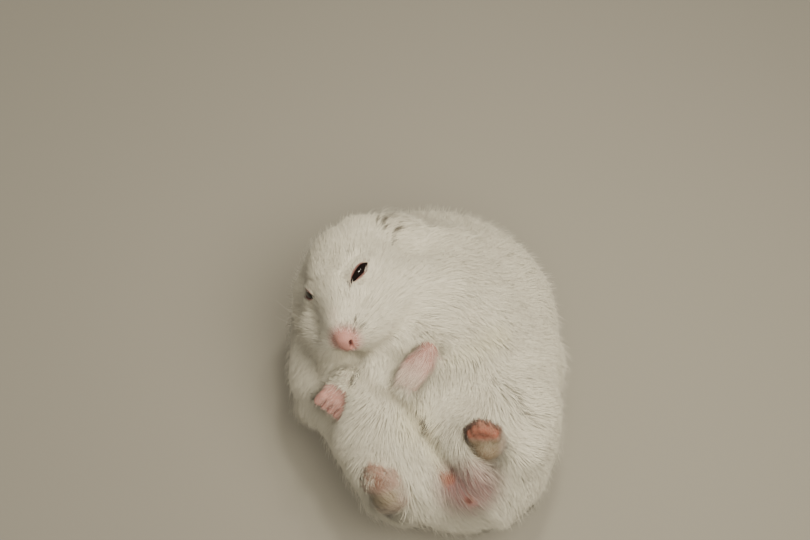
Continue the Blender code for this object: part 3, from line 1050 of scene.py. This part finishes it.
def tuft_mesh(name, tufts, rings):
    """Three-sided tapering tufts, closed at the root and pointed at the tip."""
    corners, bends, shares = tuft_corners(tufts, rings)
    count, each = shares.shape
    last = 3 * (rings - 1)
    pairs = ((0, 1), (1, 2), (2, 0))
    quads = [(k + a, k + b, k + 3 + b, k + 3 + a) for k in range(0, last, 3) for a, b in pairs]
    tips = [(last + a, last + b, last + 3) for a, b in pairs] + [(2, 1, 0)]
    loops = np.array([corner for face in quads + tips for corner in face])
    loops = (loops + np.arange(count)[:, None] * each).ravel()
    sizes = np.tile([4] * len(quads) + [3] * len(tips), count)
    mesh = bpy.data.meshes.new(name)
    mesh.vertices.add(count * each)
    mesh.loops.add(len(loops))
    mesh.polygons.add(len(sizes))
    flat = corners.reshape(-1, 3)
    flat[:, 2] = np.maximum(flat[:, 2], FLOOR_GAP)
    starts = np.concatenate(([0], np.cumsum(sizes)[:-1]))
    mesh.vertices.foreach_set("co", (flat * MM).ravel())
    mesh.loops.foreach_set("vertex_index", loops.astype(np.int32))
    mesh.polygons.foreach_set("loop_start", starts.astype(np.int32))
    mesh.polygons.foreach_set("use_smooth", np.ones(len(sizes), bool))
    mesh.update()
    mesh.validate()
    side = (bends @ np.array((1.0, 0.7, 0.4))).clip(-1.0, 1.0)
    patch = np.stack((shares - 0.5, side * 0.5), axis=2) * PATCH
    place = (tufts["uv"][:, None] + patch).reshape(-1, 2).clip(0.0005, 0.9995)
    layer = mesh.uv_layers.new(name="OFBake")
    layer.data.foreach_set("uv", place[loops].astype(np.float32).ravel())
    set_colours(mesh, "marks", np.repeat(tufts["marks"][:, :4], each, axis=0))
    set_colours(mesh, "flesh", np.repeat(tufts["marks"][:, 4:], each, axis=0))
    pick = np.repeat(tufts["pick"], each)
    set_colours(mesh, "strand", np.stack((shares.ravel(), pick, pick * 0.0, pick * 0.0), axis=1))
    soft = unit(tufts["out"][:, None] + 0.10 * bends).reshape(-1, 3)
    mesh.normals_split_custom_set_from_vertices(soft.astype(np.float32))
    return mesh


def coat_figures(points, normals, owners, edges, outer, chart):
    """The coat's table at each corner of the skin, changed by what lies near."""
    columns = [column(number) for number in (DEPTH, LENGTH, WIDTH, DENSITY, WANDER)]
    figures = np.stack(columns, axis=1)[owners]
    nose, eyes, groin = nearness(points)
    paws = belongs(owners, *PAW_NODES)
    close = (1.0 - paws) * np.maximum(nose, 0.9 * eyes)
    figures = even_out(figures, edges, 14, paws * 0.7)
    fold = chart.fold(outer, 2.2)
    figures[:, DEPTH] = coat_depth(points, figures[:, DEPTH]) * (1.0 - 0.50 * fold)
    figures[:, LENGTH] *= (1.0 - 0.72 * close) * (1.0 - 0.25 * groin) * (1.0 - 0.55 * fold)
    figures[:, WIDTH] *= (1.0 - 0.36 * close) * (1.0 - 0.40 * groin)
    density = (1.0 + 0.9 * close) * (1.0 - 0.62 * groin)
    for node in PAW_NODES[:2]:
        beside = (1.0 - step(off_paw(points, node), 0.0, 4.5)) * (1.0 - paws)
        figures[:, LENGTH] *= 1.0 - 0.6 * beside
        density *= 1.0 + 0.5 * beside
    density *= 1.0 - 0.35 * step(-normals[:, 2], 0.3, 0.9)
    density *= 1.0 - pads(points, owners)
    density *= step(far(points, NOSE_TIP - HEAD.aim((0, 0, 0.8))), 0.5, 2.0)
    density *= 1.0 - 0.45 * blob(points, NOSE_TIP, 4.6, 0.3)
    density *= 1.0 - blob(points, PAPILLA, 2.0, 0.6)
    density *= 1.0 - blob(points, ANUS, 1.6, 0.5)
    for place in EYES.values():
        local = place.within(points)
        oval = np.hypot(local[:, 0] / 0.95, local[:, 1] / 3.1)
        density *= 1.0 - ((np.abs(local[:, 2]) < 2.0) & (oval < 1.0))
    figures[:, DENSITY] *= density
    return figures


def grow_coat(skin, points, edges, owners, outer, chart):
    """All the tufts of the coat, and the node that each one grows on."""
    pick = np.random.default_rng(5)
    mesh = skin.data
    faces = read(mesh.polygons, "vertices", 3, np.int32)
    normals = unit(even_out(read(mesh.vertices, "normal", 3), edges, 8))
    figures = coat_figures(points, normals, owners, edges, outer, chart)
    lie = lie_of_coat(points, normals, owners, edges)
    uv = read(mesh.uv_layers["OFBake"].data, "uv", 2, np.float32).reshape(-1, 3, 2)
    weight = figures[faces, DENSITY].mean(axis=1)
    count = TUFTS
    face, part = root_places(points, faces, weight, count, pick)

    def at(values):
        return np.einsum("nk,nk...->n...", part, values[faces[face]])

    root = at(points)
    out = unit(at(normals))
    flow = unit(at(lie))
    depth, length, width, _, wander = at(figures).T
    turn = 0.24 * ripple(root, 9.0, 1) + 0.10 * ripple(root, 3.5, 2)
    turn = turn + pick.normal(size=count) * wander
    aside = np.cross(out, flow)
    flow = unit(flow * np.cos(turn)[:, None] + aside * np.sin(turn)[:, None])
    length = length * pick.uniform(0.72, 1.18, count) * (1.0 + 0.10 * ripple(root, 6.0, 3))
    rise = depth * pick.uniform(0.82, 1.08, count) * (1.0 + 0.05 * ripple(root, 5.0, 4))
    guard = (pick.random(count) < 0.07) & (length > 2.4)
    rise = np.where(guard, rise * 1.4 + 0.3, rise)
    rise = np.minimum(rise, length * 0.85)
    run = np.sqrt(np.maximum(length ** 2 - rise ** 2, 0.04))
    tip = root + flow * run[:, None] + out * rise[:, None]
    seeds = KDTree(count // CLUMP)
    chosen = pick.choice(count, count // CLUMP, replace=False)
    for index, tuft in enumerate(chosen):
        seeds.insert(root[tuft], index)
    seeds.balance()
    nearest = chosen[[seeds.find(place)[1] for place in root]]
    pull = tip[nearest] - tip
    size = np.linalg.norm(pull, axis=1)
    drift = pull * (0.07 * (size < 2.5))[:, None]
    home = owners[faces[face, 0]]
    marks = all_colours(root + flow * (0.6 * run)[:, None] + out * depth[:, None], home, chart)
    grey = marks[:, 0] * 1.1 > pick.random(count) * 0.9 + 0.1
    marks[:, 0] = grey * np.minimum(0.35 + marks[:, 0], 1.0)
    tufts = {
        "root": root - out * 0.15,
        "lie": flow,
        "out": out,
        "run": run,
        "rise": rise + 0.15,
        "bow": pick.uniform(1.4, 2.2, count),
        "drift": drift,
        "sag": np.where(guard, 0.3, 1.0) * np.minimum(run ** 2 / (2.0 * BODY_RADIUS), 0.6 * rise),
        "width": width * np.where(guard, 0.7, 1.0) * pick.uniform(0.75, 1.25, count),
        "uv": np.einsum("nk,nkc->nc", part, uv[face]),
        "marks": marks,
        "pick": pick.random(count),
    }
    return tufts, home


# --- materials ----------------------------------------------------------------------------------


class Value:
    """A socket in a material, with Python's arithmetic on it."""

    def __init__(self, look, socket):
        self.look = look
        self.socket = socket

    def math(self, operation, *values):
        return self.look.node("ShaderNodeMath", {"operation": operation}, dict(enumerate(values)))

    def __add__(self, other):
        return self.math("ADD", self, other)

    __radd__ = __add__

    def __sub__(self, other):
        return self.math("SUBTRACT", self, other)

    def __rsub__(self, other):
        return self.math("SUBTRACT", other, self)

    def __mul__(self, other):
        return self.math("MULTIPLY", self, other)

    __rmul__ = __mul__

    def clamped(self):
        return self.math("MINIMUM", self.math("MAXIMUM", self, 0.0), 1.0)


class Look:
    """A material that is being put together."""

    def __init__(self, name):
        self.material = bpy.data.materials.new(name)
        self.material.use_nodes = True
        self.tree = self.material.node_tree
        self.shader = self.tree.nodes["Principled BSDF"]

    def node(self, kind, settings=None, values=None, output=0):
        """Adds a node: its settings first, then its sockets' values or links."""
        made = self.tree.nodes.new(kind)
        for name, setting in (settings or {}).items():
            setattr(made, name, setting)
        for name, value in (values or {}).items():
            self.feed(made.inputs[name], value)
        return Value(self, made.outputs[output])

    def feed(self, socket, value):
        if isinstance(value, Value):
            self.tree.links.new(value.socket, socket)
        elif isinstance(value, tuple) and len(value) == 3 and socket.type == "RGBA":
            socket.default_value = (*value, 1.0)
        else:
            socket.default_value = value

    def set(self, **values):
        """Sets the shader's own sockets."""
        for name, value in values.items():
            self.feed(self.shader.inputs[name.replace("_", " ")], value)

    def mix(self, share, first, second):
        settings = {"data_type": "RGBA"}
        return self.node("ShaderNodeMix", settings, {0: share, 6: first, 7: second}, 2)

    def parts(self, name):
        """An attribute's red, green and blue, and its alpha."""
        colour = self.node("ShaderNodeAttribute", {"attribute_name": name})
        alpha = Value(self, colour.socket.node.outputs["Alpha"])
        split = self.node("ShaderNodeSeparateColor", {}, {0: colour}).socket.node
        return [Value(self, socket) for socket in split.outputs] + [alpha]

    def noise(self, scale, detail=3.0):
        where = self.node("ShaderNodeTexCoord", {}, {}, 3)
        values = {"Vector": where, "Scale": scale, "Detail": detail}
        return self.node("ShaderNodeTexNoise", {}, values)

    def bump(self, height, strength, distance):
        values = {"Strength": strength, "Distance": distance, "Height": height}
        return self.node("ShaderNodeBump", {}, values)


def coat_look():
    """White hair: darker at the root, with a cream, pink or grey tint by the place it grows on, and
    painted shade along the folds, up the nose's top and on the band of pads behind the toes.
    """
    look = Look("white_coat")
    grey, pink, _, cream = look.parts("marks")
    salmon, taupe_and_shade, mauve, fold = look.parts("flesh")
    along, pick, _, _ = look.parts("strand")
    mottle = look.noise(260.0, 2.0)
    hair = look.mix(pick, (0.77, 0.73, 0.61), (0.95, 0.925, 0.80))
    for share, tint in (
        (mottle * 0.5 + (1.0 - along) * 0.2, (0.76, 0.715, 0.59)),
        ((pick * 11.0 - 9.9).clamped() * 0.5, (0.38, 0.34, 0.27)),
        (cream * 0.6, (0.90, 0.86, 0.60)),
        # Painted shade along the folds.
        (fold * 0.75, (0.40, 0.35, 0.25)),
        (pink * 0.85 * (1.1 - along * 0.55), (0.71, 0.42, 0.40)),
        (mauve * (0.2 + pick * 1.1), (0.32, 0.24, 0.23)),
        # Taupe soles, with painted shade on the band of pads behind the toes.
        (taupe_and_shade * 0.8, (0.42, 0.35, 0.23)),
        (salmon * 0.85, (0.46, 0.20, 0.135)),
        # Grey hairs, with painted shade along the top of the nose.
        (grey * (0.6 + 0.4 * along), (0.085, 0.070, 0.060)),
    ):
        hair = look.mix(share, hair, tint)
    look.set(Base_Color=hair, Roughness=0.62, Specular_IOR_Level=0.2)
    look.set(Sheen_Weight=0.12, Sheen_Roughness=0.5)
    return look.material


def skin_look():
    """Pale under the coat, and pink, salmon or taupe where it is bare, with painted shade in the
    gaps between the fingers and on the band of pads behind the toes.
    """
    look = Look("hamster_skin")
    _, pink, dark, _ = look.parts("marks")
    salmon, taupe_and_shade, mauve, _ = look.parts("flesh")
    mottle = look.noise(900.0, 4.0)
    fine = look.noise(3500.0, 3.0)
    base = look.mix(mottle, (0.70, 0.64, 0.54), (0.60, 0.54, 0.44))
    for share, light, deep in (
        (pink, (0.55, 0.29, 0.255), (0.43, 0.21, 0.185)),
        (mauve * 0.85, (0.42, 0.25, 0.24), (0.34, 0.18, 0.185)),
        # Taupe soles, with painted shade on the band of pads behind the toes.
        (taupe_and_shade * 0.9, (0.36, 0.26, 0.17), (0.29, 0.21, 0.13)),
        (salmon * 0.95, (0.43, 0.165, 0.115), (0.34, 0.12, 0.08)),
    ):
        base = look.mix(share, base, look.mix(mottle, light, deep))
    # Dark nostrils, lid rims and anus, and painted shade between the right forepaw's fingers.
    base = look.mix(dark * 0.95, base, (0.085, 0.026, 0.022))
    look.set(Base_Color=base, Roughness=0.5, Specular_IOR_Level=0.4)
    look.set(Subsurface_Weight=0.12, Subsurface_Scale=1.0)
    look.set(Subsurface_Radius=(0.0012, 0.0005, 0.0003))
    look.set(Normal=look.bump(mottle * 0.6 + fine * 0.4, 0.5, 0.00012))
    return look.material


def plain_look(name, grain, light, deep, **finish):
    """A finish in two near tones."""
    look = Look(name)
    look.set(Base_Color=look.mix(look.noise(grain), light, deep), **finish)
    return look.material


def whisker_look():
    look = Look("whisker")
    along = look.parts("strand")[0]
    look.set(Base_Color=look.mix(along, (0.30, 0.27, 0.24), (0.60, 0.57, 0.50)), Roughness=0.4)
    return look.material


# --- making it ----------------------------------------------------------------------------------


def give(made, look, slot, *nodes):
    """A finished piece: its material, its slot (not used), its body and the nodes that it stands
    for.
    """
    made.data.materials.clear()
    made.data.materials.append(look)
    if nodes:
        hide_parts(*nodes)
    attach(made, "root")
    return made


def unwrap(made):
    """Unwraps the skin by its own shape."""
    made.data.uv_layers.new(name="OFBake")
    bpy.context.view_layer.objects.active = made
    made.select_set(True)
    bpy.ops.object.mode_set(mode="EDIT")
    bpy.ops.mesh.select_all(action="SELECT")
    bpy.ops.uv.smart_project(angle_limit=math.radians(70), island_margin=0.003)
    bpy.ops.object.mode_set(mode="OBJECT")


def make_eye(side, look):
    """An eyeball, wider than the slit that shows it."""
    ball = bmesh.new()
    seat = ball_seat(EYES[side], (0, 0, EYE_STAND - EYEBALL[2]), EYEBALL)
    bmesh.ops.create_uvsphere(ball, u_segments=48, v_segments=32, radius=1.0, matrix=seat)
    name = "left" if side == LEFT else "right"
    made = put("eyeball_" + name, ball)
    made.data.shade_smooth()
    return give(made, look, "eye", "eye_" + name)


def add_claw(claws, stand, length):
    """A thin cone that curves as it rises."""
    start = len(claws.verts)
    bmesh.ops.create_cone(
        claws, cap_ends=True, segments=7, radius1=0.20 * MM, radius2=0.03 * MM, depth=length,
    )
    claws.verts.ensure_lookup_table()
    fresh = set(claws.verts[start:])
    sides = [e for e in claws.edges if fresh.issuperset(e.verts)]
    sides = [e for e in sides if abs(e.verts[0].co.z - e.verts[1].co.z) > 0.5 * length]
    bmesh.ops.subdivide_edges(claws, edges=sides, cuts=3)
    claws.verts.ensure_lookup_table()
    fresh = claws.verts[start:]
    for corner in fresh:
        corner.co.y += 0.28 * (corner.co.z / length + 0.5) ** 2 * length
    bmesh.ops.transform(claws, matrix=stand, verts=fresh)


def make_claws(look):
    """A small curved claw on every digit."""
    claws = bmesh.new()
    turn = Matrix.Rotation(-math.pi / 2, 4, "X")
    for node, paw in PAWS.items():
        hind = node.startswith("hind")
        count = len(TOES) if hind else 4
        length = 0.55 * MM if hind else 0.70 * MM
        for number in range(count):
            x = (number - (count - 1) / 2.0) * paw.width
            if hind:
                tip = (x * 1.08, TOES[number] + 0.15, -0.40)
                aim = (x * 0.05, 1.0, -0.35)
            else:
                tip = (x * 1.08, 9.0 - 2.6 * paw.curl, -0.45 - 1.9 * paw.curl)
                aim = (0.0, 1.0 - 0.8 * paw.curl, -0.3 - 0.7 * paw.curl)
            seat = Place(paw.world(tip), paw.aim(aim), paw.aim((0, 0.3, 1)))
            add_claw(claws, seat.matrix() @ turn, length)
    bmesh.ops.recalc_face_normals(claws, faces=claws.faces)
    made = put("claws", claws)
    made.data.shade_smooth()
    return give(made, look, "skin")


def make_whiskers(look, finder):
    """Three rows of whiskers on each side of the muzzle."""
    pick = np.random.default_rng(9)
    roots = []
    ways = []
    lengths = []
    for side in (LEFT, RIGHT):
        for row in range(3):
            for number in range(4):
                root = (side * (1.9 + 0.45 * number), 10.3 - 0.95 * number, -5.0 - 0.75 * row)
                roots.append(HEAD.world(root))
                aim = (side * (0.9 + 0.1 * row), 0.15 - 0.22 * number, 0.40 - 0.32 * row)
                ways.append(HEAD.aim(aim))
                lengths.append(6.5 + 2.4 * number + pick.uniform(-1.0, 1.0))
    roots = np.array([finder.find_nearest(Vector(root))[0] for root in roots])
    ways = unit(np.array(ways) + pick.normal(size=(len(ways), 3)) * 0.08)
    lengths = np.array(lengths)
    count = len(roots)
    fall = np.array([HEAD.aim((0, -1.0, -0.25))] * count) * (lengths * 0.32)[:, None]
    tufts = {
        "root": roots - ways * 0.3,
        "lie": ways,
        "out": unit(np.cross(np.cross(ways, HEAD.aim((0, 0, 1))), ways)),
        "run": lengths,
        "rise": lengths * 0.10,
        "bow": np.full(count, 2.0),
        "drift": fall,
        "sag": np.zeros(count),
        "width": np.full(count, 0.05),
        "uv": np.full((count, 2), 0.5) + pick.uniform(-0.4, 0.4, (count, 2)),
        "marks": np.zeros((count, 8)),
        "pick": pick.random(count),
    }
    return give(put("whiskers", tuft_mesh("whiskers", tufts, 9)), look, "coat")


def make_floor(look):
    sheet = bmesh.new()
    bmesh.ops.create_grid(sheet, x_segments=1, y_segments=1, size=3.0)
    bmesh.ops.translate(sheet, verts=sheet.verts, vec=(0, 0, -0.0002))
    made = put("floor", sheet)
    made.data.materials.append(look)


def make_light(name, kind, place, power, size, glossy=False):
    """A warm lamp aimed at the sleeper: a sun in degrees across, or a disk in metres across."""
    lamp = bpy.data.lights.new(name, kind)
    lamp.energy = power
    lamp.color = (1.0, 0.91, 0.74)
    if kind == "SUN":
        lamp.angle = math.radians(size)
    else:
        lamp.shape = "DISK"
        lamp.size = size
    made = put(name, lamp)
    made.visible_glossy = glossy
    made.location = place
    aim = Vector((0.0, 0.0, 0.018)) - Vector(place)
    made.rotation_euler = aim.to_track_quat("-Z", "Y").to_euler()


def make_studio():
    """A broad soft light from over the camera, a nearer one, and two that glint in the eye."""
    world = bpy.data.worlds.new("studio")
    world.use_nodes = True
    backdrop = world.node_tree.nodes["Background"]
    backdrop.inputs["Color"].default_value = (1.0, 0.94, 0.82, 1.0)
    backdrop.inputs["Strength"].default_value = 0.19
    bpy.context.scene.world = world
    make_light("key", "SUN", (0.16, -0.42, 0.89), 2.1, 60.0)
    make_light("near", "AREA", (0.08, -0.04, 0.20), 0.24, 0.14)
    eye = EYES[LEFT]
    watcher = unit(np.array(CAMERA) / MM - eye.origin)
    facing = eye.axes[2]
    back = 2.0 * (facing @ watcher) * facing - watcher
    for across, power, size in ((0.0, 0.10, 0.024), (-42.0, 0.03, 0.014)):
        place = eye.origin + back * 160.0 + eye.axes[1] * across
        make_light("glint", "AREA", place * MM, power, size, glossy=True)


def make_camera():
    eye = bpy.data.cameras.new("camera")
    eye.lens = 40.0
    eye.sensor_width = 36.0
    eye.clip_start = 0.005
    made = put("camera", eye)
    made.location = CAMERA
    made.rotation_euler = (math.radians(30.0), 0.0, 0.0)
    bpy.context.scene.camera = made


def main():
    skin, points, edges, owners, outer, chart = finish_skin()
    colours = all_colours(outer, owners, chart)
    set_colours(skin.data, "marks", colours[:, :4])
    set_colours(skin.data, "flesh", colours[:, 4:])
    skin.data.shade_smooth()
    unwrap(skin)
    give(skin, skin_look(), "skin", *FLESH)
    tufts, home = grow_coat(skin, points, edges, owners, outer, chart)
    white = coat_look()
    for index, node in enumerate(FLESH):
        mine = np.flatnonzero(home == index)
        for number, start in enumerate(range(0, len(mine), PIECE_TUFTS), 1):
            some = {key: value[mine[start:start + PIECE_TUFTS]] for key, value in tufts.items()}
            name = f"coat_{node}_{number}"
            give(put(name, tuft_mesh(name, some, 2)), white, "coat")
    wet = {"Roughness": 0.08, "Specular_IOR_Level": 0.3}
    black = plain_look("wet_eye", 500.0, (0.012, 0.007, 0.006), (0.004, 0.003, 0.003), **wet)
    make_eye(LEFT, black)
    make_eye(RIGHT, black)
    horn = ((0.62, 0.42, 0.35), (0.50, 0.31, 0.26))
    make_claws(plain_look("pale_claw", 1200.0, *horn, Roughness=0.35))
    make_whiskers(whisker_look(), finder_of(skin.data))
    ground = ((0.31, 0.295, 0.255), (0.33, 0.315, 0.275))
    make_floor(plain_look("pale_floor", 6.0, *ground, Roughness=0.8))
    make_studio()
    make_camera()


main()
